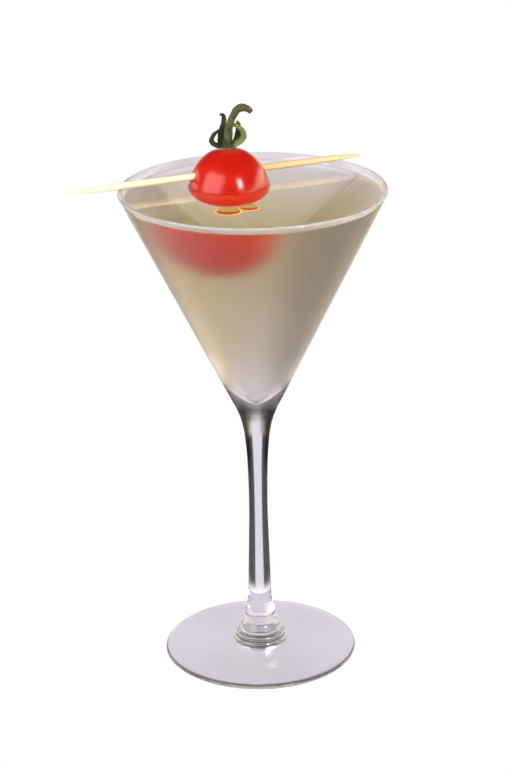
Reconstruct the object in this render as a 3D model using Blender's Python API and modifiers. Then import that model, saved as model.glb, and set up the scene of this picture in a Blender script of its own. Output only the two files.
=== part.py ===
"""A filled martini glass with a cherry tomato on a bamboo pick and two drops of oil afloat.

Metres, +Z up. The origin is the centre of the foot's underside, and the glass turns about Z.
"""

import math

import bmesh
import bpy
from mathutils import Matrix, Vector

MM = 0.001
GAP = 0.3

# The glass, in millimetres
GLASS_HEIGHT = 182.0
RIM_RADIUS = 48.2
BOWL_SLOPE = 0.4857
BOWL_END_HEIGHT = 98.0
WALL = 1.3
BOWL_FLOOR = 103.2
BOWL_BOTTOM = ((1.6, 103.65), (4.4, 106.3), (7.9, 110.2), (12.4, 115.45))
BOWL_SIDE_START = 121.2
FOOT_RADIUS = 36.1
FOOT_EDGE = 1.7
FOOT_CROWN_RADIUS = 11.2
FOOT_CROWN_HEIGHT = 4.2
STEM_STATIONS = (
    (6.0, 94.2),
    (4.75, 88.5),
    (3.95, 80.0),
    (3.6, 70.0),
    (3.48, 58.0),
    (3.75, 45.0),
    (4.1, 32.0),
    (4.45, 22.0),
    (5.3, 16.8),
    (5.95, 13.3),
)
BUTTON_NECK = (6.3, 11.8)
BUTTON_RADIUS, BUTTON_HEIGHT, BUTTON_ROUND = 7.8, 8.9, 1.25
RING_RADIUS, RING_HEIGHT, RING_ROUND = 9.55, 6.7, 1.15
RING_FOOT = (9.75, 5.0)

# The drink and what floats on it
DRINK_LEVEL = 179.6
DROPS = {
    "oil_drop_large": ((-8.6, -20.0), 4.65, 0.9),
    "oil_drop_small": ((-1.5, -16.1), 3.65, 0.75),
}

# The pick, a turned stick with a long point at each end
PICK_LEFT_END = (-64.8, -7.4)
PICK_RIGHT_END = (39.5, 35.6)
PICK_RADIUS = 1.25
PICK_TIP_RADIUS = 0.42
PICK_LEFT_TAPER = 17.0
PICK_RIGHT_TAPER = 15.0

# The tomato, longer than it is wide, hangs on the pick, which passes above its middle
TOMATO_SIDE = 14.85
TOMATO_RISE = 18.3
TOMATO_BELOW_PICK = 8.95
TOMATO_ALONG_PICK = 60.3
TOMATO_TILT_BACK = math.radians(8.0)
TOMATO_TILT_LEFT = math.radians(3.0)
TOMATO_SHOULDER = 0.03
TOMATO_LOBES = 5
TOMATO_LOBE_DEPTH = 0.012
TOMATO_DIMPLE = 1.0
TOMATO_DIMPLE_WIDTH = 3.0

# The calyx, from the top of the tomato: x to the right, y away, z along the fruit's axis.
# A sepal leaves the hub, swings outwards and curls back in over it.
SEPAL_HALF_WIDTH = 1.45
SEPAL_HALF_THICKNESS = 0.5
SEPAL_TWISTS = {"right": 62.0, "left": -58.0, "front": 8.0, "back_left": -60.0, "back_right": 60.0}
SEPAL_SIZES = {"right": 0.9, "left": 0.75, "front": 0.8, "back_left": 0.7, "back_right": 0.9}
SEPALS = {
    "right": ((1.4, -0.8, 0.1), (3.4, -1.3, 0.7), (5.1, -1.1, 1.5), (6.6, -0.8, 3.0),
              (6.4, -0.3, 4.9), (5.2, 0.1, 6.5), (3.5, 0.3, 7.5), (2.0, 0.4, 8.2)),
    "left": ((-0.9, -0.7, 0.1), (-2.9, -0.9, 0.6), (-4.5, -0.6, 1.4), (-4.9, -0.2, 2.6),
             (-4.1, 0.2, 4.1), (-2.8, 0.5, 5.3), (-1.1, 0.6, 6.3)),
    "front": ((-0.1, -1.2, 0.1), (0.1, -2.7, 0.9), (0.4, -3.0, 3.5), (0.7, -2.3, 6.0),
              (0.8, -1.5, 7.8)),
    "back_left": ((-1.0, 0.9, 0.1), (-2.2, 1.8, 1.2), (-2.0, 1.7, 4.3), (-1.0, 1.1, 6.8),
                  (-0.1, 0.6, 8.9), (0.0, 0.4, 10.6), (-0.5, 0.3, 11.4), (-1.4, 0.2, 11.2)),
    "back_right": ((1.2, 1.0, 0.1), (3.7, 1.9, 1.1), (4.6, 1.9, 3.6), (5.0, 1.5, 6.0),
                   (5.1, 1.1, 7.7), (4.6, 0.8, 8.8)),
}
STALK = ((0.7, 0.0, 0.1), (1.4, 0.2, 2.8), (1.7, 0.3, 5.6), (2.1, 0.4, 7.8), (2.8, 0.4, 9.6),
         (3.9, 0.3, 11.3), (5.3, 0.2, 13.0), (7.1, 0.0, 13.4), (8.9, -0.2, 12.8), (10.1, -0.4, 11.5))
STALK_RADIUS = 1.2
STALK_KNUCKLE = 1.4
HUB_RADIUS = 3.1
HUB_HALF_THICKNESS = 0.55

GLASS_STEPS = 64
DRINK_STEPS = 64
ROUND_STEPS = 20
TOMATO_STEPS = (34, 18)
DROP_STEPS = (20, 6)


def clear_scene():
    for obj in list(bpy.data.objects):
        bpy.data.objects.remove(obj, do_unlink=True)


def make_collection(name):
    made = bpy.data.collections.new(name)
    bpy.context.scene.collection.children.link(made)
    return made


def make_material(name, colour, roughness, transmission=0.0, ior=1.5):
    made = bpy.data.materials.new(name)
    made.use_nodes = True
    shader = made.node_tree.nodes["Principled BSDF"]
    shader.inputs["Base Color"].default_value = (*colour, 1.0)
    shader.inputs["Roughness"].default_value = roughness
    shader.inputs["Metallic"].default_value = 0.0
    shader.inputs["Transmission Weight"].default_value = transmission
    shader.inputs["IOR"].default_value = ior
    made.diffuse_color = (*colour, 1.0)
    return made


def new_object(name, data, collection, material=None):
    obj = bpy.data.objects.new(name, data)
    collection.objects.link(obj)
    if material is not None:
        data.materials.append(material)
    return obj


def make_cutter(obj):
    obj.hide_render = True
    obj.display_type = "WIRE"


def evaluated_mesh(obj):
    bpy.context.view_layer.update()
    graph = bpy.context.evaluated_depsgraph_get()
    return bpy.data.meshes.new_from_object(obj.evaluated_get(graph))


def arc(centre, radius, start, end, steps):
    """Points of a circle in the outline's plane, from one angle to another in degrees."""
    points = []
    for step in range(steps + 1):
        angle = math.radians(start + (end - start) * step / steps)
        points.append((centre[0] + radius * math.cos(angle), centre[1] + radius * math.sin(angle)))
    return points


def smooth_line(points, steps):
    """A curve through the points, with this many steps between each two."""
    ends = [points[0], *points, points[-1]]
    line = []
    for before, start, end, after in zip(ends, ends[1:], ends[2:], ends[3:]):
        for step in range(steps):
            t = step / steps
            line.append(tuple(
                0.5 * (2 * b + (c - a) * t + (2 * a - 5 * b + 4 * c - d) * t**2
                       + (3 * b - a - 3 * c + d) * t**3)
                for a, b, c, d in zip(before, start, end, after)
            ))
    line.append(tuple(points[-1]))
    return line


def outer_radius(height):
    """The bowl's straight outer side."""
    return RIM_RADIUS - BOWL_SLOPE * (GLASS_HEIGHT - height)


def inner_radius(height):
    """The bowl's straight inner side."""
    return outer_radius(height) - WALL / math.cos(math.atan(BOWL_SLOPE))


def inner_side(inset, top):
    """The inside of the bowl from the axis up to the height top, moved inwards by inset."""
    line = [(0.0, BOWL_FLOOR), *BOWL_BOTTOM]
    line += [(inner_radius(height), height) for height in (BOWL_SIDE_START, top)]
    points = [(0.0, BOWL_FLOOR + inset)]
    for before, point, after in zip(line, line[1:], line[2:]):
        along = (Vector(after) - Vector(before)).normalized()
        points.append((point[0] - along.y * inset, point[1] + along.x * inset))
    foot_radius, foot_height = points[-1]
    rows = 3
    for row in range(1, rows + 1):
        height = foot_height + (top - foot_height) * row / rows
        points.append((foot_radius + BOWL_SLOPE * (height - foot_height), height))
    return points


def glass_outline():
    """From the axis inside the bowl, over the lip, and down the outside to the foot's underside."""
    lip_round = WALL / 2
    lip_centre = (RIM_RADIUS - lip_round, GLASS_HEIGHT - lip_round)
    points = inner_side(0.0, lip_centre[1] - 1.0)
    points += arc(lip_centre, lip_round, 154.0, -26.0, 6)
    rows = 4
    for row in range(1, rows + 1):
        height = lip_centre[1] + (BOWL_END_HEIGHT - lip_centre[1]) * row / rows
        points.append((outer_radius(height), height))
    stem = smooth_line([points[-1], *STEM_STATIONS, BUTTON_NECK], 2)
    points += stem[1:]
    button = (BUTTON_RADIUS - BUTTON_ROUND, BUTTON_HEIGHT)
    points += arc(button, BUTTON_ROUND, 70.0, -50.0, 4)
    ring = (RING_RADIUS - RING_ROUND, RING_HEIGHT)
    points += arc(ring, RING_ROUND, 80.0, -25.0, 4)
    points.append(RING_FOOT)
    points.append((FOOT_CROWN_RADIUS, FOOT_CROWN_HEIGHT))
    edge_round = FOOT_EDGE / 2
    points.append((FOOT_RADIUS * 0.55, FOOT_CROWN_HEIGHT * 0.62 + FOOT_EDGE * 0.38))
    points += arc((FOOT_RADIUS - edge_round, edge_round), edge_round, 84.0, -90.0, 6)
    points.append((0.0, 0.0))
    return points


def turned(name, outline, steps, collection, material=None):
    """A body turned about Z. Its outline runs down the outer side."""
    mesh = bpy.data.meshes.new(name)
    shape = bmesh.new()
    corners = [shape.verts.new((radius * MM, 0.0, height * MM)) for radius, height in outline]
    for first, second in zip(corners, corners[1:]):
        shape.edges.new((first, second))
    shape.to_mesh(mesh)
    shape.free()
    obj = new_object(name, mesh, collection, material)
    screw = obj.modifiers.new("Turn", "SCREW")
    screw.axis = "Z"
    screw.angle = math.tau
    screw.steps = steps
    screw.render_steps = steps
    screw.use_merge_vertices = True
    screw.merge_threshold = 0.00002
    screw.use_smooth_shade = True
    return obj


def round_body(name, sizes, steps, shaping, collection, material=None):
    """A sphere with the given half sizes, whose points the shaping function may move."""
    mesh = bpy.data.meshes.new(name)
    shape = bmesh.new()
    bmesh.ops.create_uvsphere(shape, u_segments=steps[0], v_segments=steps[1], radius=1.0)
    for corner in shape.verts:
        corner.co = Vector(shaping(corner.co, sizes)) * MM
    shape.to_mesh(mesh)
    shape.free()
    mesh.shade_smooth()
    return new_object(name, mesh, collection, material)


def plain_shape(unit, sizes):
    return [part * size for part, size in zip(unit, sizes)]


def tomato_shape(unit, sizes):
    """Full shoulders, faint lobes round the side and a dimple on top."""
    around = math.atan2(unit.y, unit.x)
    flat = math.hypot(unit.x, unit.y)
    lobe = 1.0 + TOMATO_LOBE_DEPTH * flat * math.cos(TOMATO_LOBES * around)
    lobe += TOMATO_SHOULDER * 2.0 * flat * unit.z
    side, rise = sizes[0] * lobe, sizes[2]
    height = unit.z * rise
    if unit.z > 0.0:
        height -= TOMATO_DIMPLE * math.exp(-((flat * sizes[0] / TOMATO_DIMPLE_WIDTH) ** 2))
    return (unit.x * side, unit.y * side, height)


def cut(target, cutter, name):
    boolean = target.modifiers.new(name, "BOOLEAN")
    boolean.operation = "DIFFERENCE"
    boolean.solver = "EXACT"
    boolean.object = cutter


def pick_frame():
    """Origin at the pick's left end, local Z along it."""
    height = GLASS_HEIGHT + PICK_RADIUS + GAP
    start = Vector((*PICK_LEFT_END, height))
    along = Vector((*PICK_RIGHT_END, height)) - start
    turn = Vector((0.0, 0.0, 1.0)).rotation_difference(along).to_matrix().to_4x4()
    return start, along, turn


def tomato_frame():
    """Where the middle of the tomato is, and how its axis leans."""
    start, along, _ = pick_frame()
    lean = Matrix.Rotation(-TOMATO_TILT_BACK, 4, "X") @ Matrix.Rotation(-TOMATO_TILT_LEFT, 4, "Y")
    middle = start + along.normalized() * TOMATO_ALONG_PICK
    middle -= lean @ Vector((0.0, 0.0, TOMATO_BELOW_PICK))
    return Matrix.Translation(middle * MM) @ lean


def pick_outline(length):
    """From the right tip down to the left one, as a stick standing on its left end."""
    blunt = PICK_TIP_RADIUS * 0.6
    return [
        (0.0, length),
        (PICK_TIP_RADIUS * 0.8, length - 0.1),
        (PICK_TIP_RADIUS, length - blunt),
        (PICK_RADIUS * 0.72, length - PICK_RIGHT_TAPER * 0.5),
        (PICK_RADIUS * 0.96, length - PICK_RIGHT_TAPER),
        (PICK_RADIUS, length * 0.5),
        (PICK_RADIUS, PICK_LEFT_TAPER),
        (PICK_RADIUS * 0.78, PICK_LEFT_TAPER * 0.5),
        (PICK_TIP_RADIUS, blunt),
        (PICK_TIP_RADIUS * 0.8, 0.1),
        (0.0, 0.0),
    ]


def make_pick(parts, cutters):
    start, along, turn = pick_frame()
    place = Matrix.Translation(start * MM) @ turn
    wood = make_material("bamboo", (0.95, 0.74, 0.44), 0.55)
    pick = turned("pick", pick_outline(along.length), ROUND_STEPS, parts, wood)
    pick.matrix_world = place
    hole_radius = PICK_RADIUS + GAP
    past = TOMATO_SIDE * 1.6
    hole_outline = [
        (0.0, TOMATO_ALONG_PICK + past),
        (hole_radius, TOMATO_ALONG_PICK + past),
        (hole_radius, TOMATO_ALONG_PICK - past),
        (0.0, TOMATO_ALONG_PICK - past),
    ]
    hole = turned("pick_hole", hole_outline, ROUND_STEPS, cutters)
    hole.matrix_world = place
    make_cutter(hole)
    return hole


def make_tomato(parts, cutters, hole):
    red = make_material("tomato_skin", (0.72, 0.035, 0.015), 0.18)
    sizes = (TOMATO_SIDE, TOMATO_SIDE, TOMATO_RISE)
    tomato = round_body("tomato", sizes, TOMATO_STEPS, tomato_shape, parts, red)
    tomato.matrix_world = tomato_frame()
    cut(tomato, hole, "Pick hole")
    room_sizes = [size + GAP * 1.2 for size in sizes]
    room = round_body("tomato_room", room_sizes, TOMATO_STEPS, tomato_shape, cutters)
    room.matrix_world = tomato_frame()
    make_cutter(room)
    return room


def make_drops(parts, cutters):
    """Flat lenses of oil, half sunk in the drink."""
    oil = make_material("oil", (0.93, 0.74, 0.2), 0.05, transmission=0.9, ior=1.47)
    rooms = []
    for name, ((x, y), radius, half_thickness) in DROPS.items():
        place = Matrix.Translation(Vector((x, y, DRINK_LEVEL)) * MM)
        sizes = (radius, radius, half_thickness)
        drop = round_body(name, sizes, DROP_STEPS, plain_shape, parts, oil)
        drop.matrix_world = place
        room_sizes = [size + GAP for size in sizes]
        room = round_body(name + "_room", room_sizes, DROP_STEPS, plain_shape, cutters)
        room.matrix_world = place
        make_cutter(room)
        rooms.append(room)
    return rooms


def make_drink(parts, rooms):
    """Fills the bowl up to the level, and leaves room for what floats in it."""
    straw = make_material("drink", (0.86, 0.8, 0.62), 0.02, transmission=0.95, ior=1.345)
    side = inner_side(GAP, DRINK_LEVEL)
    outline = [(0.0, DRINK_LEVEL), *reversed(side)]
    drink = turned("drink", outline, DRINK_STEPS, parts, straw)
    for room in rooms:
        cut(drink, room, room.name)
    return drink


def flat_section(guides):
    """The oval outline that a sepal is drawn along its path with."""
    curve = bpy.data.curves.new("sepal_section", "CURVE")
    curve.dimensions = "2D"
    spline = curve.splines.new("POLY")
    sides = 8
    spline.points.add(sides - 1)
    for index, point in enumerate(spline.points):
        angle = math.tau * index / sides
        point.co = (math.cos(angle) * SEPAL_HALF_WIDTH * MM,
                    math.sin(angle) * SEPAL_HALF_THICKNESS * MM, 0.0, 1.0)
    spline.use_cyclic_u = True
    return new_object("sepal_section", curve, guides)


def swept(name, path, radii, guides, section=None, twist=0.0):
    """A mesh body drawn along a path, round or with the given section turned by twist."""
    curve = bpy.data.curves.new(name, "CURVE")
    curve.dimensions = "3D"
    curve.use_fill_caps = True
    if section is None:
        curve.bevel_depth = MM
        curve.bevel_resolution = 2
    else:
        curve.bevel_mode = "OBJECT"
        curve.bevel_object = section
    spline = curve.splines.new("POLY")
    spline.points.add(len(path) - 1)
    for point, place, radius in zip(spline.points, path, radii):
        point.co = (*[part * MM for part in place], 1.0)
        point.radius = radius
        point.tilt = math.radians(twist)
    drawn = new_object(name + "_path", curve, guides)
    mesh = evaluated_mesh(drawn)
    bpy.data.objects.remove(drawn, do_unlink=True)
    shape = bmesh.new()
    shape.from_mesh(mesh)
    bmesh.ops.remove_doubles(shape, verts=shape.verts, dist=0.00001)
    bmesh.ops.recalc_face_normals(shape, faces=shape.faces)
    shape.to_mesh(mesh)
    shape.free()
    return new_object(name, mesh, guides)


def sepal_radii(count, size):
    """Full width soon after the hub, then narrowing to a point."""
    return [size * min(1.0, 0.75 + 2.0 * at) * (1.0 - 0.72 * at**2.2)
            for at in (index / (count - 1) for index in range(count))]


def stalk_radii(count):
    """Even, with a knuckle where it bends and a narrower end."""
    knuckle = STALK_KNUCKLE - STALK_RADIUS
    return [STALK_RADIUS + knuckle * math.exp(-((at - 0.7) / 0.13) ** 2) - max(0.0, at - 0.9) * 4.0
            for at in (index / (count - 1) for index in range(count))]


def make_calyx(parts):
    """Hub, sepals and stalk, joined into one green body on top of the tomato."""
    guides = make_collection("calyx_pieces")
    section = flat_section(guides)
    pieces = make_collection("calyx_joined")
    for name, stations in SEPALS.items():
        path = smooth_line(stations, 3)
        radii = sepal_radii(len(path), SEPAL_SIZES[name])
        piece = swept("sepal_" + name, path, radii, guides, section, SEPAL_TWISTS[name])
        pieces.objects.link(piece)
    path = smooth_line(STALK, 3)
    pieces.objects.link(swept("stalk", path, stalk_radii(len(path)), guides))
    sizes = (HUB_RADIUS, HUB_RADIUS, HUB_HALF_THICKNESS)
    green = make_material("calyx_green", (0.12, 0.2, 0.05), 0.6)
    calyx = round_body("calyx", sizes, (16, 8), plain_shape, parts, green)
    union = calyx.modifiers.new("Join", "BOOLEAN")
    union.operation = "UNION"
    union.solver = "EXACT"
    union.operand_type = "COLLECTION"
    union.collection = pieces
    joined = evaluated_mesh(calyx)
    calyx.modifiers.clear()
    calyx.data = joined
    for made in list(guides.objects):
        bpy.data.objects.remove(made, do_unlink=True)
    for collection in (guides, pieces):
        bpy.data.collections.remove(collection)
    top = Matrix.Translation((0.0, 0.0, (TOMATO_RISE + GAP * 0.5) * MM))
    calyx.matrix_world = tomato_frame() @ top
    return calyx


def make_glass(parts):
    clear = make_material("clear_glass", (0.93, 0.95, 0.96), 0.05, transmission=1.0, ior=1.5)
    return turned("glass", glass_outline(), GLASS_STEPS, parts, clear)


def main():
    clear_scene()
    parts = make_collection("martini_cocktail")
    cutters = make_collection("cutters")
    make_glass(parts)
    hole = make_pick(parts, cutters)
    room = make_tomato(parts, cutters, hole)
    drop_rooms = make_drops(parts, cutters)
    make_drink(parts, [room, *drop_rooms])
    make_calyx(parts)
    bpy.context.view_layer.update()


main()
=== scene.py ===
import math

import bmesh
import bpy
from mathutils import Matrix, Vector, noise


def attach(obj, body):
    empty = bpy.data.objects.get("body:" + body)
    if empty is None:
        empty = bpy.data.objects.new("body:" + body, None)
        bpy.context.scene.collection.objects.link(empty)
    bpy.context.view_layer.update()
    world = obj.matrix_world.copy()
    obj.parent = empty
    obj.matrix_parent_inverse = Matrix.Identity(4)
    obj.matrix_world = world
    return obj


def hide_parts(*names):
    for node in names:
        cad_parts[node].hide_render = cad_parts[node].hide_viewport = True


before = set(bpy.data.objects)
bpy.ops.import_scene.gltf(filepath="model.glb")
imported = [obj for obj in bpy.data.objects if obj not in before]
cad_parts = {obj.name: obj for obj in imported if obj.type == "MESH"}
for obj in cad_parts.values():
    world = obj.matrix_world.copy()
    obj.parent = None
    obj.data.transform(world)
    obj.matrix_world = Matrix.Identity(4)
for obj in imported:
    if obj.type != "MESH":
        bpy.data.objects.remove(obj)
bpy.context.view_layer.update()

print("frame loaded:", sorted(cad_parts))

mm = 0.001
noise.seed_set(7)  # the calyx's small swellings are the same each run
scene = bpy.context.scene
scene.view_settings.view_transform = "Standard"
scene.view_settings.look = "None"


# Shader maths as plain sums

class Wire:
    # one socket of a node tree, which adds Math nodes as it is used in a sum
    def __init__(self, tree, socket):
        self.tree = tree
        self.socket = socket

    def math(self, operation, *others):
        made = self.tree.nodes.new("ShaderNodeMath")
        made.operation = operation
        for slot, value in enumerate(others):
            plug(self.tree, value, made.inputs[slot])
        return Wire(self.tree, made.outputs[0])

    def __add__(self, other):
        return self.math("ADD", self, other)

    __radd__ = __add__

    def __mul__(self, other):
        return self.math("MULTIPLY", self, other)

    __rmul__ = __mul__

    def __sub__(self, other):
        return self.math("SUBTRACT", self, other)

    def __rsub__(self, other):
        return self.math("SUBTRACT", other, self)

    def __truediv__(self, other):
        return self.math("DIVIDE", self, other)

    def __pow__(self, other):
        return self.math("POWER", self, other)

    def smaller(self, other):
        return self.math("MINIMUM", self, other)

    def larger(self, other):
        return self.math("MAXIMUM", self, other)

    def size(self):
        return self.math("ABSOLUTE", self)

    def rise(self, low, high):
        # 0 below low, 1 above high, smooth between
        made = self.tree.nodes.new("ShaderNodeMapRange")
        made.interpolation_type = "SMOOTHSTEP"
        plug(self.tree, self, made.inputs["Value"])
        made.inputs["From Min"].default_value = low
        made.inputs["From Max"].default_value = high
        return Wire(self.tree, made.outputs[0])


def plug(tree, value, socket):
    if isinstance(value, Wire):
        tree.links.new(value.socket, socket)
    elif socket.type == "RGBA":
        socket.default_value = (*value[:3], 1.0)
    else:
        socket.default_value = value


class Finish:
    # a material or a world, whose nodes are made by one method
    def __init__(self, owner):
        owner.use_nodes = True
        self.owner = owner
        self.tree = owner.node_tree
        self.tree.nodes.clear()

    def node(self, kind, settings=None, values=None, out=0):
        made = self.tree.nodes.new(kind)
        for key, value in (settings or {}).items():
            if key == "stops":
                ramp = made.color_ramp
                for at, (place, colour) in enumerate(value):
                    stop = ramp.elements[at] if at < 2 else ramp.elements.new(place)
                    stop.position = place
                    stop.color = (*colour, 1.0)
            else:
                setattr(made, key, value)
        for key, value in (values or {}).items():
            plug(self.tree, value, made.inputs[key])
        return Wire(self.tree, made.outputs[out])

    def place(self):
        return self.node("ShaderNodeTexCoord", out="Object")

    def parts(self, vector):
        made = self.tree.nodes.new("ShaderNodeSeparateXYZ")
        plug(self.tree, vector, made.inputs[0])
        return [Wire(self.tree, made.outputs[axis]) for axis in range(3)]

    def turned(self, vector, turn, scale=(1, 1, 1)):
        values = {"Vector": vector, "Rotation": turn, "Scale": scale}
        return self.node("ShaderNodeMapping", {}, values)

    def noise(self, vector, scale, detail=3.0, roughness=0.5):
        values = {"Vector": vector, "Scale": scale, "Detail": detail, "Roughness": roughness}
        return self.node("ShaderNodeTexNoise", {}, values)

    def cells(self, vector, scale, feature="F1", smooth=0.0):
        values = {"Vector": vector, "Scale": scale}
        if feature == "SMOOTH_F1":
            values["Smoothness"] = smooth
        return self.node("ShaderNodeTexVoronoi", {"feature": feature}, values)

    def blend(self, share, first, second):
        made = self.tree.nodes.new("ShaderNodeMix")
        made.data_type = "RGBA"
        plug(self.tree, share, made.inputs[0])
        plug(self.tree, first, made.inputs[6])
        plug(self.tree, second, made.inputs[7])
        return Wire(self.tree, made.outputs[2])

    def bump(self, height, depth, strength=1.0, normal=None):
        values = {"Height": height, "Distance": depth, "Strength": strength}
        if normal is not None:
            values["Normal"] = normal
        return self.node("ShaderNodeBump", {}, values)

    def principled(self, **values):
        named = {key.replace("_", " "): value for key, value in values.items()}
        return self.node("ShaderNodeBsdfPrincipled", {}, named)

    def finish(self, surface, volume=None):
        isWorld = isinstance(self.owner, bpy.types.World)
        made = self.tree.nodes.new("ShaderNodeOutputWorld" if isWorld else "ShaderNodeOutputMaterial")
        plug(self.tree, surface, made.inputs["Surface"])
        if volume is not None:
            plug(self.tree, volume, made.inputs["Volume"])
        return self.owner


def newFinish(name):
    return Finish(bpy.data.materials.new(name))


# Mesh helpers

def toObject(name, shape, material):
    mesh = bpy.data.meshes.new(name)
    shape.to_mesh(mesh)
    shape.free()
    made = bpy.data.objects.new(name, mesh)
    scene.collection.objects.link(made)
    mesh.materials.append(material)
    mesh.shade_smooth()
    return made


def arcPoints(centre, radius, start, end, steps):
    # an arc in degrees, turned from the outward side
    points = []
    for step in range(steps + 1):
        angle = math.radians(start + (end - start) * step / steps)
        points.append((centre[0] + radius * math.cos(angle), centre[1] + radius * math.sin(angle)))
    return points


def smoothPath(points, steps):
    # a curve through the points
    ends = [points[0], *points, points[-1]]
    line = []
    for before, start, end, after in zip(ends, ends[1:], ends[2:], ends[3:]):
        for step in range(steps):
            t = step / steps
            line.append(tuple(
                0.5 * (2 * b + (c - a) * t + (2 * a - 5 * b + 4 * c - d) * t**2
                       + (3 * b - a - 3 * c + d) * t**3)
                for a, b, c, d in zip(before, start, end, after)))
    line.append(tuple(points[-1]))
    return line


def evenRows(start, end, rows):
    # points at equal distances after start, up to and with end
    return [tuple(a + (b - a) * row / rows for a, b in zip(start, end)) for row in range(1, rows + 1)]


def spunShape(outline, steps):
    # turns an outline of (radius, height) in mm about Z; it starts and ends on the axis
    shape = bmesh.new()
    corners = [shape.verts.new((radius * mm, 0, height * mm)) for radius, height in outline]
    edges = [shape.edges.new(pair) for pair in zip(corners, corners[1:])]
    bmesh.ops.spin(shape, geom=corners + edges, cent=(0, 0, 0), axis=(0, 0, 1), dvec=(0, 0, 0),
                   angle=math.tau, steps=steps, use_merge=True)
    bmesh.ops.remove_doubles(shape, verts=shape.verts, dist=1e-6)
    bmesh.ops.recalc_face_normals(shape, faces=shape.faces)
    return shape


# Camera, at the photograph's angle

cameraSet = {"lens": 109.2, "sensor": 36.0, "place": (-0.1, -798.7, 416.1), "pitch": 21.15, "roll": -0.99}


def makeCamera():
    data = bpy.data.cameras.new("camera")
    data.lens = cameraSet["lens"]
    data.sensor_width = cameraSet["sensor"]
    data.clip_start = 0.05
    data.clip_end = 50
    camera = bpy.data.objects.new("camera", data)
    scene.collection.objects.link(camera)
    look = (Matrix.Rotation(math.radians(90 - cameraSet["pitch"]), 4, "X")
            @ Matrix.Rotation(math.radians(cameraSet["roll"]), 4, "Z"))
    camera.matrix_world = Matrix.Translation(Vector(cameraSet["place"]) * mm) @ look
    scene.camera = camera


makeCamera()
print("camera made")


# Light: a dim room with pale walls low round the glass, a pale floor, and dark gaps that the stem shows

# Heights are those of a view's direction, from -1 straight down to 1 straight up.
# The walls run from the left to the right, and sides brighten them where they lie far out.
studio = {
    "backdrop": (1.0, 1.0, 1.0),
    "top": (0.11, 0.105, 0.10),
    "floor": (0.98, 0.95, 0.98),
    "behindLow": (0.84, 0.82, 0.88),
    "sideLow": (0.03, 0.026, 0.025),
    "opening": (0.935, 0.975),
    "front": (-0.1, 0.25),
    "floorEnds": (-0.97, -0.88),
    "lowStarts": (-0.60, -0.48),
    "wallStarts": (-0.26, -0.16),
    "wallEnds": (0.10, 0.22),
    "sidesOut": (0.62, 0.84),
    "sidesBack": (-0.05, 0.25),
    "sidesHigher": 0.12,
    "walls": [(0.0, (1.0, 0.93, 0.76)), (0.13, (1.0, 0.93, 0.76)), (0.22, (0.48, 0.43, 0.36)),
              (0.38, (0.50, 0.47, 0.43)), (0.46, (0.92, 0.88, 0.92)), (0.54, (0.94, 0.90, 0.94)),
              (0.66, (1.0, 0.92, 0.72)), (0.72, (1.5, 1.32, 0.92)), (0.79, (2.4, 2.1, 1.4)),
              (0.86, (4.8, 4.4, 3.2))],
    "sides": (4.6, 4.15, 3.3),
}


def makeWorld():
    world = bpy.data.worlds.new("studio")
    scene.world = world
    finish = Finish(world)
    way = finish.node("ShaderNodeTexCoord", out="Generated")
    x, y, z = finish.parts(way)
    level = (x * x + y * y).larger(0.0001) ** 0.5
    opening = (y / level).size().rise(*studio["opening"])
    opening = opening.larger((0.0 - y).rise(*studio["front"]))
    gap = finish.blend(opening, studio["sideLow"], studio["behindLow"])
    under = finish.blend(z.rise(*studio["floorEnds"]), studio["top"], studio["floor"])
    low = finish.blend(z.rise(*studio["lowStarts"]), under, gap)
    walls = finish.node("ShaderNodeValToRGB", {"stops": studio["walls"]}, {"Fac": 0.5 + 0.5 * (x / level)})
    sides = (x / level).size().rise(*studio["sidesOut"]) * y.rise(*studio["sidesBack"])
    walls = finish.blend(sides, walls, studio["sides"])
    middle = finish.blend(z.rise(*studio["wallStarts"]), low, walls)
    dome = finish.blend((z - sides * studio["sidesHigher"]).rise(*studio["wallEnds"]), middle, studio["top"])
    lit = finish.node("ShaderNodeBackground", {}, {"Color": dome, "Strength": 1.0})
    plain = finish.node("ShaderNodeBackground", {}, {"Color": studio["backdrop"], "Strength": 1.0})
    seen = finish.node("ShaderNodeLightPath", out="Is Camera Ray")
    finish.finish(finish.node("ShaderNodeMixShader", {}, {0: seen, 1: lit, 2: plain}))


# azimuth counts from the camera's side to the right; a small bright lamp seen through the drink is only noise
lamps = {
    "keyRight": {"azimuth": 36, "height": 31, "distance": 1.5, "size": (0.36, 0.44), "power": 18.0,
                 "colour": (1.0, 0.97, 0.94), "seenThrough": False},
    "keyLeft": {"azimuth": -50, "height": 26, "distance": 1.5, "size": (1.3, 1.3), "power": 26.0,
                "colour": (1.0, 0.97, 0.95), "seenThrough": True},
}
lampAim = (-0.008, 0.01, 0.15)


def makeLamp(name, at):
    data = bpy.data.lights.new(name, "AREA")
    data.shape = "RECTANGLE"
    data.size, data.size_y = at["size"]
    data.energy = at["power"]
    data.color = at["colour"]
    lamp = bpy.data.objects.new(name, data)
    scene.collection.objects.link(lamp)
    turn, tilt = math.radians(at["azimuth"]), math.radians(at["height"])
    aim = Vector(lampAim)
    way = Vector((math.sin(turn) * math.cos(tilt), -math.cos(turn) * math.cos(tilt), math.sin(tilt)))
    lamp.matrix_world = (Matrix.Translation(aim + way * at["distance"])
                         @ (-way).to_track_quat("-Z", "Y").to_matrix().to_4x4())
    lamp.visible_camera = False
    lamp.visible_transmission = at["seenThrough"]


floorSet = {
    "radius": 0.06,
    "fades": (0.038, 0.056),
    "below": 0.0002,
    "paper": ((0.54, 0.535, 0.55), (0.56, 0.555, 0.57)),
    "glow": (1.0, 0.975, 1.04),
    "glowStrength": 0.70,
}


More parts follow.
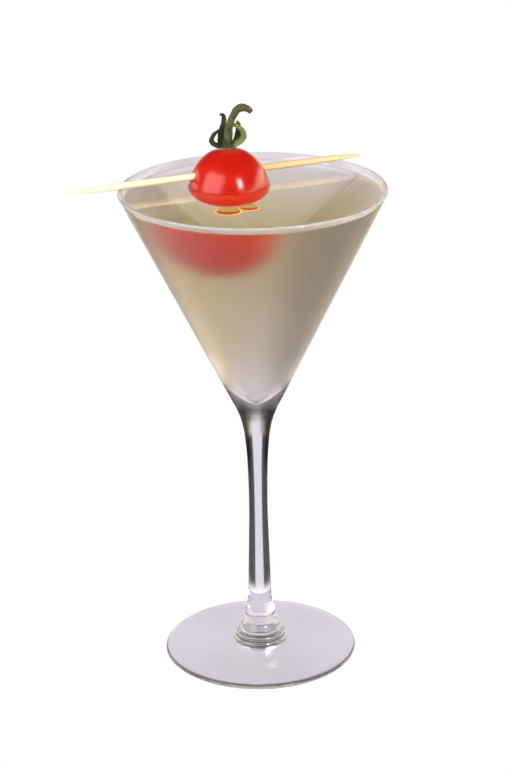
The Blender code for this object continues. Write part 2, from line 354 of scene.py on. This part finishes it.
def makeFloor():
    # a disc under the foot, which fades out before it can be seen beside it
    shape = bmesh.new()
    bmesh.ops.create_circle(shape, cap_ends=True, radius=floorSet["radius"], segments=96)
    finish = newFinish("paleFloor")
    x, y, z = finish.parts(finish.place())
    away = (x * x + y * y) ** 0.5
    grain = finish.noise(finish.place(), 900.0)
    colour = finish.blend(grain, *floorSet["paper"])
    edge = 1.0 - away.rise(*floorSet["fades"])
    paper = finish.principled(Base_Color=colour, Roughness=0.9, Specular_IOR_Level=0.0, Alpha=edge,
                              Emission_Color=floorSet["glow"], Emission_Strength=floorSet["glowStrength"])
    floor = toObject("floor", shape, finish.finish(paper))
    floor.location.z = -floorSet["below"]
    floor.visible_glossy = False


makeWorld()
for lampName, lampSet in lamps.items():
    makeLamp(lampName, lampSet)
makeFloor()
print("studio made")


# The glass

# sizes in mm; a profile's points are (radius, height)
glassSet = {
    "height": 182.0,
    "rimRadius": 48.2,
    "slope": 0.4857,
    "bowlEnd": 98.0,
    "wall": 1.3,
    "bowlFloor": 103.2,
    "bowlBottom": [(1.6, 103.65), (4.4, 106.3), (7.9, 110.2), (12.4, 115.45)],
    "bowlSideStart": 121.2,
    "footRadius": 36.1,
    "footEdge": 1.7,
    "crown": (11.2, 4.2),
    "stem": [(6.0, 94.2), (4.75, 88.5), (3.95, 80.0), (3.6, 70.0), (3.48, 58.0), (3.75, 45.0),
             (4.1, 32.0), (4.45, 22.0), (5.3, 16.8), (5.95, 13.3)],
    "neck": (6.3, 11.8),
    "button": (6.55, 8.9, 1.25),
    "ring": (8.4, 6.7, 1.15),
    "ringFoot": (9.75, 5.0),
    "steps": 192,
    "tint": (0.87, 0.845, 0.89),
    # painted shade: the next two colours darken the upper stem's edges
    "paintedShadeTint": (0.03, 0.027, 0.028),
    "paintedShadeColour": (0.014, 0.012, 0.013),
    "mist": (0.95, 0.93, 0.9),
    "frostRoughness": 0.278,
}
# where each finish begins and ends, as heights in metres
glassZones = {
    "mistStarts": (0.096, 0.112),
    "mistEnds": (0.1784, 0.1798),
    "lip": (0.1790, 0.1800),
    "footEnds": (0.012, 0.016),
    "crownStarts": (0.0040, 0.0052),
    "crownEnds": (0.014, 0.018),
    # painted shade: the next zones darken the edges of the upper stem and of the bowl's bottom
    "darkStarts": (0.068, 0.082),
    "paintedShadeTintEnds": (0.099, 0.106),
    "darkEnds": (0.097, 0.104),
    "flankStarts": (0.098, 0.102),
    "flankEnds": (0.106, 0.113),
    "wetStarts": (0.1015, 0.1028),
    "wetEnds": (0.1789, 0.1795),
}


def innerRadius(height):
    # of the bowl's straight inner side
    outer = glassSet["rimRadius"] - glassSet["slope"] * (glassSet["height"] - height)
    return outer - glassSet["wall"] / math.cos(math.atan(glassSet["slope"]))


def bowlInside(inset, top, rows):
    # from the axis up the inside of the bowl, moved inwards by inset
    stations = [(0.0, glassSet["bowlFloor"]), *glassSet["bowlBottom"]]
    for height in (glassSet["bowlSideStart"], glassSet["bowlSideStart"] + 8):
        stations.append((innerRadius(height), height))
    before = (-stations[1][0], stations[1][1])
    line = smoothPath([before, *stations], 6)[5:-5]
    points = []
    for first, point, last in zip(line, line[1:], line[2:]):
        along = (Vector(last) - Vector(first)).normalized()
        points.append((point[0] - along.y * inset, point[1] + along.x * inset))
    points[0] = (0.0, glassSet["bowlFloor"] + inset)
    low = points[-1]
    return points + evenRows(low, (low[0] + glassSet["slope"] * (top - low[1]), top), rows)


def glassOutline():
    lip = glassSet["wall"] / 2
    lipCentre = (glassSet["rimRadius"] - lip, glassSet["height"] - lip)
    points = bowlInside(0, lipCentre[1] - 1, 40)
    points += arcPoints(lipCentre, lip, 154, -26, 14)
    lowRadius = glassSet["rimRadius"] - glassSet["slope"] * (glassSet["height"] - glassSet["bowlEnd"])
    low = (lowRadius, glassSet["bowlEnd"])
    points += evenRows(points[-1], low, 40)
    points += smoothPath([low, *glassSet["stem"], glassSet["neck"]], 8)[1:]
    radius, height, roundness = glassSet["button"]
    points += arcPoints((radius, height), roundness, 70, -50, 12)
    radius, height, roundness = glassSet["ring"]
    points += arcPoints((radius, height), roundness, 80, -25, 12)
    edge = glassSet["footEdge"] / 2
    middle = (glassSet["footRadius"] * 0.55, glassSet["crown"][1] * 0.62 + edge * 0.76)
    outer = arcPoints((glassSet["footRadius"] - edge, edge), edge, 84, -90, 14)
    points += smoothPath([points[-1], glassSet["ringFoot"], glassSet["crown"], middle, outer[0]], 10)[1:-1]
    points += outer
    points += evenRows(outer[-1], (0, 0), 12)
    return points


def glassFinish():
    # clear at the stem and inside, misted outside the bowl, satin low on the foot; painted shade darkens the
    # edges of the upper stem and of the bowl's bottom, and a painted highlight whitens the rim's top and the
    # foot's edge
    finish = newFinish("mistedGlass")
    zone = glassZones
    place = finish.place()
    x, y, z = finish.parts(place)
    away = (x * x + y * y) ** 0.5
    middle = (glassSet["rimRadius"] - 0.75) * mm - glassSet["slope"] * (glassSet["height"] * mm - z)
    outside = (away - middle).rise(-0.0002, 0.0002)
    height = z.rise(*zone["mistStarts"]) * (1.0 - z.rise(*zone["mistEnds"]))
    # the rim's top, which the white film below whitens as a painted highlight
    lip = z.rise(*zone["lip"])
    patches = finish.noise(place, 60.0, 4.0, 0.55)
    frost = outside * height
    beads = finish.cells(place, 1400.0, "SMOOTH_F1", 0.4)
    speckle = finish.noise(place, 1800.0, 2.0)
    roughness = frost * (glassSet["frostRoughness"] + 0.05 * patches) + (1.0 - z.rise(*zone["footEnds"])) * 0.13
    roughness = roughness + z.rise(*zone["crownStarts"]) * (1.0 - z.rise(*zone["crownEnds"])) * 0.06
    facing = finish.node("ShaderNodeLayerWeight", {}, {"Blend": 0.35}, out="Facing")
    # painted shade: at the upper stem's edges the tint turns dark, and a dark matte shader is mixed in there
    # and at the bowl bottom's edges
    neck = facing.rise(0.12, 0.27) * z.rise(*zone["darkStarts"]) * (1.0 - z.rise(*zone["paintedShadeTintEnds"]))
    dark = facing.rise(0.17, 0.38) * z.rise(*zone["darkStarts"]) * (1.0 - z.rise(*zone["darkEnds"]))
    flankPaintedShade = facing.rise(0.38, 0.62) * z.rise(*zone["flankStarts"]) * (1.0 - z.rise(*zone["flankEnds"]))
    dark = dark.larger(flankPaintedShade * 0.8)
    tint = finish.blend(neck * 0.97, glassSet["tint"], glassSet["paintedShadeTint"])
    bump = finish.bump(beads * frost + speckle * frost * 0.5, 0.00006, 0.35)
    clear = finish.principled(Base_Color=tint, Roughness=roughness, IOR=1.5,
                              Transmission_Weight=1.0, Normal=bump)
    wet = (1.0 - outside) * z.rise(*zone["wetStarts"]) * (1.0 - z.rise(*zone["wetEnds"]))
    wetted = finish.principled(Base_Color=tint, Roughness=0.0, IOR=1.5, Specular_Tint=(0.0, 0.0, 0.0),
                               Transmission_Weight=1.0)
    clear = finish.node("ShaderNodeMixShader", {}, {0: wet, 1: clear, 2: wetted})
    slant = finish.node("ShaderNodeFresnel", {}, {"IOR": 1.5})
    mistAndPaintedHighlight = frost * (0.01 + 0.75 * slant.rise(0.1, 0.95)) * (0.8 + 0.4 * patches)
    # the foot's outer edge, which the white film below whitens as a painted highlight
    edge = away.rise(0.0351, 0.0358) * (1.0 - z.rise(0.003, 0.004))
    specks = (1.0 - finish.cells(place, 150.0).rise(0.03, 0.06)) * patches.rise(0.5, 0.6)
    # the film is the mist on the bowl, and also a painted highlight on the rim's top and the foot's edge
    mistAndPaintedHighlight = (mistAndPaintedHighlight + frost * specks * 0.3 + lip * 0.2 + edge * 0.15).smaller(0.9)
    white = finish.node("ShaderNodeBsdfTranslucent", {}, {"Color": glassSet["mist"]})
    film = finish.node("ShaderNodeBsdfDiffuse", {}, {"Color": glassSet["mist"]})
    mist = finish.node("ShaderNodeMixShader", {}, {0: 0.5, 1: white, 2: film})
    misted = finish.node("ShaderNodeMixShader", {}, {0: mistAndPaintedHighlight, 1: clear, 2: mist})
    # this dark matte shader is painted shade, mixed in at those edges
    shade = finish.node("ShaderNodeBsdfDiffuse", {}, {"Color": glassSet["paintedShadeColour"]})
    return finish.finish(finish.node("ShaderNodeMixShader", {}, {0: dark * 0.93, 1: misted, 2: shade}))


def makeGlass():
    glass = toObject("cocktailGlass", spunShape(glassOutline(), glassSet["steps"]), glassFinish())
    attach(glass, "root")
    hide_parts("glass")


makeGlass()
print("glass made")


# What floats in the drink: places shared by the drink, the tomato and the drops

pickSet = {
    "left": (-64.8, -7.4),
    "right": (39.5, 35.6),
    "radius": 1.25,
    "tip": 0.42,
    "leftTaper": 17.0,
    "rightTaper": 15.0,
    "above": 0.3,
    "pale": ((0.92, 0.73, 0.46), (0.98, 0.86, 0.64)),
    "warm": ((0.73, 0.46, 0.21), (0.85, 0.61, 0.34)),
    "band": (0.70, 0.42, 0.18),
}
# half sizes in mm, and how it leans in degrees
tomatoSet = {
    "side": 14.85,
    "rise": 18.3,
    "belowPick": 8.95,
    "alongPick": 60.3,
    "tiltBack": 8.0,
    "tiltLeft": 3.0,
    "shoulder": 0.03,
    "lobes": 5,
    "lobeDepth": 0.012,
    "dimple": 1.0,
    "dimpleWidth": 3.0,
    "swelling": 0.006,
    "pit": 0.45,
    "pitReach": 0.5,
    "dry": ((0.42, 0.006, 0.002), (0.52, 0.011, 0.003)),
    # painted light: the next two entries make the skin under the drink brighter and glowing
    "sunk": ((0.92, 0.026, 0.003), (0.98, 0.044, 0.005)),
    "sunkGlow": (0.11, 0.008, 0.001),
}
# at and radius in mm; up and down from the drink's level
dropSets = {
    "oilDropLarge": {"node": "oil_drop_large", "at": (-8.6, -20.0), "radius": 4.65, "up": 0.42, "down": 0.8},
    "oilDropSmall": {"node": "oil_drop_small", "at": (-1.5, -16.1), "radius": 3.65, "up": 0.38, "down": 0.66},
}
drinkSet = {
    "level": 179.6,
    "intoWall": 0.22,
    "tomatoClimb": 0.2,
    "tomatoReach": 1.0,
    "dropClimb": 0.12,
    "dropReach": 0.5,
    "steps": 256,
    "absorb": (0.78, 0.70, 0.33),
    "density": 23.0,
    "ior": 1.345,
}

pickStart = Vector((*pickSet["left"], glassSet["height"] + pickSet["radius"] + pickSet["above"]))
pickEnd = Vector((*pickSet["right"], pickStart.z))
pickWay = (pickEnd - pickStart).normalized()
tomatoLean = (Matrix.Rotation(math.radians(-tomatoSet["tiltBack"]), 4, "X")
              @ Matrix.Rotation(math.radians(-tomatoSet["tiltLeft"]), 4, "Y"))
tomatoCentre = (pickStart + pickWay * tomatoSet["alongPick"]
                - tomatoLean @ Vector((0, 0, tomatoSet["belowPick"])))
tomatoPlace = Matrix.Translation(tomatoCentre) @ tomatoLean


# The drink

def surfaceHeight(x, y):
    # how far the drink's surface stands from its level, in mm: it climbs the tomato and gives under the drops
    lift = 0.0
    dip = (drinkSet["level"] - tomatoCentre.z) / tomatoSet["rise"]
    waterline = tomatoSet["side"] * math.sqrt(1 - dip * dip)
    gap = math.hypot(x - tomatoCentre.x, y - tomatoCentre.y) - waterline
    if gap > -2.0:
        lift += drinkSet["tomatoClimb"] * math.exp(-max(0.0, gap + 0.35) / drinkSet["tomatoReach"])
    for drop in dropSets.values():
        off = math.hypot(x - drop["at"][0], y - drop["at"][1]) / drop["radius"]
        if off < 1:
            lift -= (drop["down"] - 0.04) * math.sqrt(1 - off * off)
        else:
            lift += drinkSet["dropClimb"] * math.exp(-(off - 1) * drop["radius"] / drinkSet["dropReach"])
    return lift


def drinkFinish():
    # a clear surface with a faint ripple, and sides that don't shine against the glass
    finish = newFinish("paleDrink")
    place = finish.place()
    ripple = finish.noise(place, 45.0, 2.0, 0.4)
    bump = finish.bump(ripple, 0.0004, 0.15)
    clear = finish.principled(Base_Color=(1.0, 1.0, 1.0), Roughness=0.0, IOR=drinkSet["ior"],
                              Transmission_Weight=1.0, Normal=bump)
    x, y, z = finish.parts(place)
    away = (x * x + y * y) ** 0.5
    wall = innerRadius(0) * mm + glassSet["slope"] * z
    side = (away - wall).rise(-0.0003, 0.0).larger(1.0 - z.rise(0.124, 0.126))
    wetted = finish.principled(Base_Color=(1.0, 1.0, 1.0), Roughness=0.0, IOR=drinkSet["ior"],
                               Specular_Tint=(0.0, 0.0, 0.0), Transmission_Weight=1.0)
    surface = finish.node("ShaderNodeMixShader", {}, {0: side, 1: clear, 2: wetted})
    values = {"Color": drinkSet["absorb"], "Density": drinkSet["density"]}
    body = finish.node("ShaderNodeVolumeAbsorption", {}, values)
    return finish.finish(surface, body)


def makeDrink():
    # two close rows keep the brim's corner sharp
    side = bowlInside(-drinkSet["intoWall"], drinkSet["level"], 60)
    brim = side[-1][0]
    top = [(brim * row / 130, drinkSet["level"]) for row in range(130)] + [(brim - 0.05, drinkSet["level"])]
    side.insert(-1, (brim - glassSet["slope"] * 0.05, drinkSet["level"] - 0.05))
    outline = top + list(reversed(side))
    shape = spunShape(outline, drinkSet["steps"])
    for corner in shape.verts:
        if corner.co.z > (drinkSet["level"] - 0.001) * mm:
            corner.co.z += surfaceHeight(corner.co.x / mm, corner.co.y / mm) * mm
    drink = toObject("paleDrinkBody", shape, drinkFinish())
    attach(drink, "root")
    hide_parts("drink")


makeDrink()
print("drink made")


# The oil drops

def oilFinish(name, drop):
    # golden, with a painted glowing highlight at its rim, and a painted red reflection in front where the
    # tomato would show in it
    finish = newFinish(name + "Oil")
    x, y, z = finish.parts(finish.place())
    across = (x - drop["at"][0] * mm) / (drop["radius"] * mm)
    away = (y - drop["at"][1] * mm) / (drop["radius"] * mm)
    out = (across * across + away * away) ** 0.5
    below = (across * across + (away - 0.75) * (away - 0.75)) ** 0.5
    # painted reflection: a red crescent in front, where the tomato would show in the drop
    paintedTomatoReflection = below.rise(1.0, 1.2) * (1.0 - out.rise(0.88, 0.96))
    paintedGlowRim = out.rise(0.90, 0.98)
    gold = finish.blend(paintedTomatoReflection, (1.0, 0.94, 0.58), (0.95, 0.15, 0.02))
    gold = finish.blend(paintedGlowRim, gold, (1.0, 0.96, 0.50))
    # painted highlight: the rim glows, though it is no lamp
    paintedRimGlow = finish.blend(paintedGlowRim, (0.0, 0.0, 0.0), (0.55, 0.50, 0.09))
    clear = finish.principled(Base_Color=gold, Roughness=0.03 + 0.05 * paintedGlowRim, IOR=1.47, Transmission_Weight=1.0,
                              Emission_Color=paintedRimGlow, Emission_Strength=1.0)
    body = finish.node("ShaderNodeVolumeAbsorption", {}, {"Color": (0.97, 0.88, 0.30), "Density": 120.0})
    return finish.finish(clear, body)


def makeDrop(name, drop):
    shape = bmesh.new()
    bmesh.ops.create_uvsphere(shape, u_segments=96, v_segments=40, radius=1.0)
    for corner in shape.verts:
        reach = drop["up"] if corner.co.z > 0 else drop["down"]
        corner.co = Vector((drop["at"][0] + corner.co.x * drop["radius"],
                            drop["at"][1] + corner.co.y * drop["radius"],
                            drinkSet["level"] + corner.co.z * reach)) * mm
    made = toObject(name, shape, oilFinish(name, drop))
    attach(made, "root")
    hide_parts(drop["node"])


for dropName, dropSet in dropSets.items():
    makeDrop(dropName, dropSet)
print("oil drops made")


# The tomato

def tomatoFinish():
    # the sunk part is painted brighter and given a painted glow, because the drink takes light from it on both
    # ways
    finish = newFinish("tomatoSkin")
    place = finish.place()
    x, y, z = finish.parts(place)
    patches = finish.noise(place, 55.0, 3.0, 0.5)
    flecks = finish.cells(place, 1100.0)
    flesh = finish.blend(patches.rise(0.35, 0.7), *tomatoSet["dry"])
    wet = finish.blend(patches.rise(0.35, 0.7), *tomatoSet["sunk"])
    # painted light: below the drink's level the skin is painted brighter and glows
    sunk = 1.0 - z.rise(0.1785, 0.1798)
    flesh = finish.blend(sunk, flesh, wet)
    glow = finish.blend(sunk, (0.0, 0.0, 0.0), tomatoSet["sunkGlow"])
    crown = (z - (tomatoCentre.z + 16.5) * mm).rise(0.0, 0.0022)
    flesh = finish.blend(crown * 0.35, flesh, (0.70, 0.09, 0.02))
    flesh = finish.blend((1.0 - flecks.rise(0.05, 0.22)) * 0.12, flesh, (0.85, 0.16, 0.05))
    pores = finish.noise(place, 700.0, 3.0)
    bump = finish.bump(pores, 0.00003, 0.4)
    bump = finish.bump(patches, 0.0004, 0.25, bump)
    skin = finish.principled(Base_Color=flesh, Roughness=0.18 + 0.07 * patches, IOR=1.42,
                             Subsurface_Weight=0.06, Subsurface_Radius=(1.0, 0.2, 0.1),
                             Subsurface_Scale=0.002, Emission_Color=glow, Emission_Strength=1.0, Normal=bump)
    return finish.finish(skin)


def tomatoPoint(unit):
    # the same lobes and dimple as the solid's, with small swellings
    around, flat = math.atan2(unit.y, unit.x), math.hypot(unit.x, unit.y)
    lobe = 1 + tomatoSet["lobeDepth"] * flat * math.cos(tomatoSet["lobes"] * around)
    lobe += tomatoSet["shoulder"] * 2 * flat * unit.z
    lobe += tomatoSet["swelling"] * noise.noise(unit * 1.7)
    height = unit.z * tomatoSet["rise"]
    if unit.z > 0:
        fromTop = flat * tomatoSet["side"] / tomatoSet["dimpleWidth"]
        height -= tomatoSet["dimple"] * math.exp(-(fromTop ** 2))
    return Vector((unit.x * tomatoSet["side"] * lobe, unit.y * tomatoSet["side"] * lobe, height))


def pitDepth(point):
    # how far the skin is pressed in round the pick
    fromPick = (point - pickStart) - pickWay * (point - pickStart).dot(pickWay)
    out = max(0.0, fromPick.length - pickSet["radius"])
    return tomatoSet["pit"] * math.exp(-(out / tomatoSet["pitReach"]) ** 2)


def makeTomato():
    shape = bmesh.new()
    bmesh.ops.create_uvsphere(shape, u_segments=160, v_segments=110, radius=1.0)
    for corner in shape.verts:
        point = tomatoPlace @ tomatoPoint(corner.co.copy())
        point += (tomatoCentre - point).normalized() * pitDepth(point)
        corner.co = point * mm
    tomato = toObject("cherryTomato", shape, tomatoFinish())
    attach(tomato, "root")
    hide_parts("tomato")


makeTomato()
print("tomato made")


# The pick

def pickFinish():
    # fibres along the pick, pale at its left end and warmer to the right
    finish = newFinish("bamboo")
    turn = pickWay.to_track_quat("X", "Z").inverted().to_euler()
    along = finish.turned(finish.place(), tuple(turn))
    fibres = finish.noise(finish.turned(along, (0, 0, 0), (60, 2600, 2600)), 1.0, 4.0, 0.6)
    bands = finish.noise(finish.turned(along, (0, 0, 0), (40, 500, 500)), 1.0, 3.0)
    x, y, z = finish.parts(finish.place())
    pale = finish.blend(fibres.rise(0.3, 0.7), *pickSet["pale"])
    warm = finish.blend(fibres.rise(0.3, 0.7), *pickSet["warm"])
    wood = finish.blend(x.rise(-0.03, 0.01), pale, warm)
    wood = finish.blend(bands.rise(0.45, 0.75) * 0.3, wood, pickSet["band"])
    bump = finish.bump(fibres, 0.00006, 0.5)
    skin = finish.principled(Base_Color=wood, Roughness=0.5 + 0.2 * fibres, Normal=bump)
    return finish.finish(skin)


def makePick():
    length = (pickEnd - pickStart).length
    radius, tip = pickSet["radius"], pickSet["tip"]
    leftTaper, rightTaper = pickSet["leftTaper"], pickSet["rightTaper"]
    points = [(0, length), (tip * 0.8, length - 0.1), (tip, length - tip * 0.6),
              (radius * 0.72, length - rightTaper * 0.5), (radius * 0.96, length - rightTaper),
              (radius, length * 0.5), (radius, leftTaper), (radius * 0.78, leftTaper * 0.5),
              (tip, tip * 0.6), (tip * 0.8, 0.1), (0, 0)]
    shape = spunShape([points[0], *smoothPath(points[1:-1], 10), points[-1]], 40)
    turn = Vector((0, 0, 1)).rotation_difference(pickWay).to_matrix().to_4x4()
    bmesh.ops.transform(shape, matrix=Matrix.Translation(pickStart * mm) @ turn, verts=shape.verts)
    pick = toObject("bambooPick", shape, pickFinish())
    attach(pick, "root")
    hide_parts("pick")


makePick()
print("pick made")


# The calyx and its stalk

# sizes in mm from the middle of the tomato's top; a sepal is its twist in degrees, its size and its path
calyxSet = {
    "halfWidth": 1.45,
    "halfThickness": 0.5,
    "hubRadius": 3.1,
    "hubThickness": 0.55,
    "stalkRadius": 1.2,
    "knuckle": 1.4,
    "sepals": {
        "right": (62, 0.9, [(1.4, -0.8, 0.1), (3.4, -1.3, 0.7), (5.1, -1.1, 1.5), (6.6, -0.8, 3.0),
                            (6.4, -0.3, 4.9), (5.2, 0.1, 6.5), (3.5, 0.3, 7.5), (2.0, 0.4, 8.2)]),
        "left": (-58, 0.75, [(-0.9, -0.7, 0.1), (-2.9, -0.9, 0.6), (-4.5, -0.6, 1.4), (-4.9, -0.2, 2.6),
                             (-4.1, 0.2, 4.1), (-2.8, 0.5, 5.3), (-1.1, 0.6, 6.3)]),
        "front": (8, 0.8, [(-0.1, -1.2, 0.1), (0.1, -2.7, 0.9), (0.4, -3.0, 3.5), (0.7, -2.3, 6.0),
                           (0.8, -1.5, 7.8)]),
        "backLeft": (-60, 0.9, [(-1.0, 0.9, 0.1), (-1.7, 1.8, 1.2), (-1.4, 1.7, 4.3), (-0.6, 1.1, 6.8),
                                (0.0, 0.6, 8.9), (0.0, 0.4, 10.6), (-0.5, 0.3, 11.4), (-1.4, 0.2, 11.2)]),
        "backRight": (60, 0.9, [(1.2, 1.0, 0.1), (3.7, 1.9, 1.1), (4.6, 1.9, 3.6), (5.0, 1.5, 6.0),
                                (5.1, 1.1, 7.7), (4.6, 0.8, 8.8)]),
    },
    "roughness": 0.16,
    "leaf": ((0.022, 0.032, 0.007), (0.105, 0.122, 0.030)),
    "loop": (0.20, 0.22, 0.07),
    "tip": (0.074, 0.056, 0.026),
    "shadow": (0.006, 0.009, 0.005),
    "hairs": (0.20, 0.24, 0.1),
    "stalk": [(0.7, 0.0, 0.1), (1.4, 0.2, 2.8), (1.7, 0.3, 5.6), (2.1, 0.4, 7.8), (2.8, 0.4, 9.6),
              (3.9, 0.3, 11.3), (5.3, 0.2, 13.0), (7.1, 0.0, 13.4), (8.9, -0.2, 12.8), (10.1, -0.4, 11.5)],
}


def sweep(shape, path, sectionAt, startSide):
    # draws a closed section along a path; sectionAt gives its points for a share of the length
    path = [Vector(point) for point in path]
    count = len(path)
    side = Vector(startSide)
    ring = None
    for index, point in enumerate(path):
        ahead = (path[min(index + 1, count - 1)] - path[max(index - 1, 0)]).normalized()
        side = (side - ahead * side.dot(ahead)).normalized()
        normal = ahead.cross(side)
        section = sectionAt(index / (count - 1))
        if ring is None:
            start = bmesh.ops.create_circle(shape, cap_ends=True, radius=1.0, segments=len(section))
            ring = start["verts"]
            edges = [shape.edges.get((a, b)) for a, b in zip(ring, ring[1:] + ring[:1])]
        else:
            grown = bmesh.ops.extrude_edge_only(shape, edges=edges)["geom"]
            fresh = set(part for part in grown if isinstance(part, bmesh.types.BMVert))
            ring = [next(edge.other_vert(old) for edge in old.link_edges if edge.other_vert(old) in fresh)
                    for old in ring]
            edges = [shape.edges.get((a, b)) for a, b in zip(ring, ring[1:] + ring[:1])]
        for corner, (across, out) in zip(ring, section):
            corner.co = point + side * across + normal * out
    bmesh.ops.contextual_create(shape, geom=edges)


def sepalSection(share, size):
    # a shallow trough with a rib along its back
    full = size * min(1.0, 0.75 + 2 * share) * (1 - 0.72 * share**2.2)
    points = []
    for step in range(20):
        angle = math.tau * step / 20
        across = math.cos(angle)
        rib = 0.28 * math.exp(-(across / 0.22) ** 2) * (1 if math.sin(angle) > 0 else -0.6)
        points.append((across * calyxSet["halfWidth"] * full,
                       (math.sin(angle) + rib - 0.25 * across * across) * calyxSet["halfThickness"] * full))
    return points


def stalkSection(share):
    # five ridges that turn slowly, with a knuckle before the bend's end
    swell = (calyxSet["knuckle"] - calyxSet["stalkRadius"]) * math.exp(-((share - 0.7) / 0.13) ** 2)
    swell -= max(0.0, share - 0.9) * 4
    points = []
    for step in range(20):
        angle = math.tau * step / 20
        ridge = 1 + 0.07 * math.cos(5 * angle + 3 * share)
        radius = (calyxSet["stalkRadius"] + swell) * ridge
        points.append((math.cos(angle) * radius, math.sin(angle) * radius))
    return points


def calyxFinish():
    # the loop in front on the right is lightest, the stalk's end brown, the left and back in shadow
    finish = newFinish("calyxGreen")
    place = finish.place()
    x, y, z = finish.parts(place)
    patches = finish.noise(place, 260.0, 3.0, 0.6)
    fine = finish.noise(place, 1500.0, 3.0, 0.6)
    high = z.rise(0.199, 0.208)
    leaf = finish.blend(patches.rise(0.35, 0.68), *calyxSet["leaf"])
    loop = x.rise(-0.0072, -0.0058) * (1.0 - z.rise(0.2012, 0.2022))
    leaf = finish.blend(loop * 0.5, leaf, calyxSet["loop"])
    leaf = finish.blend(high * 0.85, leaf, calyxSet["tip"])
    left = 1.0 - x.rise(-0.0125, -0.0108)
    curl = (1.0 - x.rise(-0.0102, -0.0090)) * y.rise(0.0172, 0.0182)
    behind = y.rise(0.0183, 0.0190) * (1.0 - z.rise(0.2005, 0.2015))
    leaf = finish.blend(left.larger(curl).larger(behind) * 0.9, leaf, calyxSet["shadow"])
    leaf = finish.blend(fine.rise(0.55, 0.8) * 0.3, leaf, calyxSet["hairs"])
    bump = finish.bump(fine, 0.00012, 0.6)
    skin = finish.principled(Base_Color=leaf, Roughness=0.5 + 0.25 * fine, Specular_IOR_Level=0.2,
                             Sheen_Weight=0.05, Sheen_Roughness=0.5, Normal=bump)
    return finish.finish(skin)


def makeCalyx():
    shape = bmesh.new()
    for turn, size, stations in calyxSet["sepals"].values():
        first, second = Vector(stations[0]), Vector(stations[1])
        ahead = (second - first).normalized()
        flat = Vector((0, 0, 1)).cross(ahead).normalized()
        side = Matrix.Rotation(math.radians(turn), 3, ahead) @ flat
        sweep(shape, smoothPath(stations, 8), lambda share: sepalSection(share, size), side)
    sweep(shape, smoothPath(calyxSet["stalk"], 6), stalkSection, (1, 0, 0))
    hub = bmesh.ops.create_uvsphere(shape, u_segments=32, v_segments=16, radius=1.0)["verts"]
    hubScale = (calyxSet["hubRadius"], calyxSet["hubRadius"], calyxSet["hubThickness"])
    bmesh.ops.scale(shape, vec=hubScale, verts=hub)
    bmesh.ops.recalc_face_normals(shape, faces=shape.faces)
    place = tomatoPlace @ Matrix.Translation((0, 0, tomatoSet["rise"] + 0.15))
    for corner in shape.verts:
        rough = noise.noise_vector(corner.co * 0.9) * calyxSet["roughness"]
        corner.co = (place @ (corner.co + rough)) * mm
    calyx = toObject("tomatoCalyx", shape, calyxFinish())
    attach(calyx, "root")
    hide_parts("calyx")


makeCalyx()
print("calyx made")
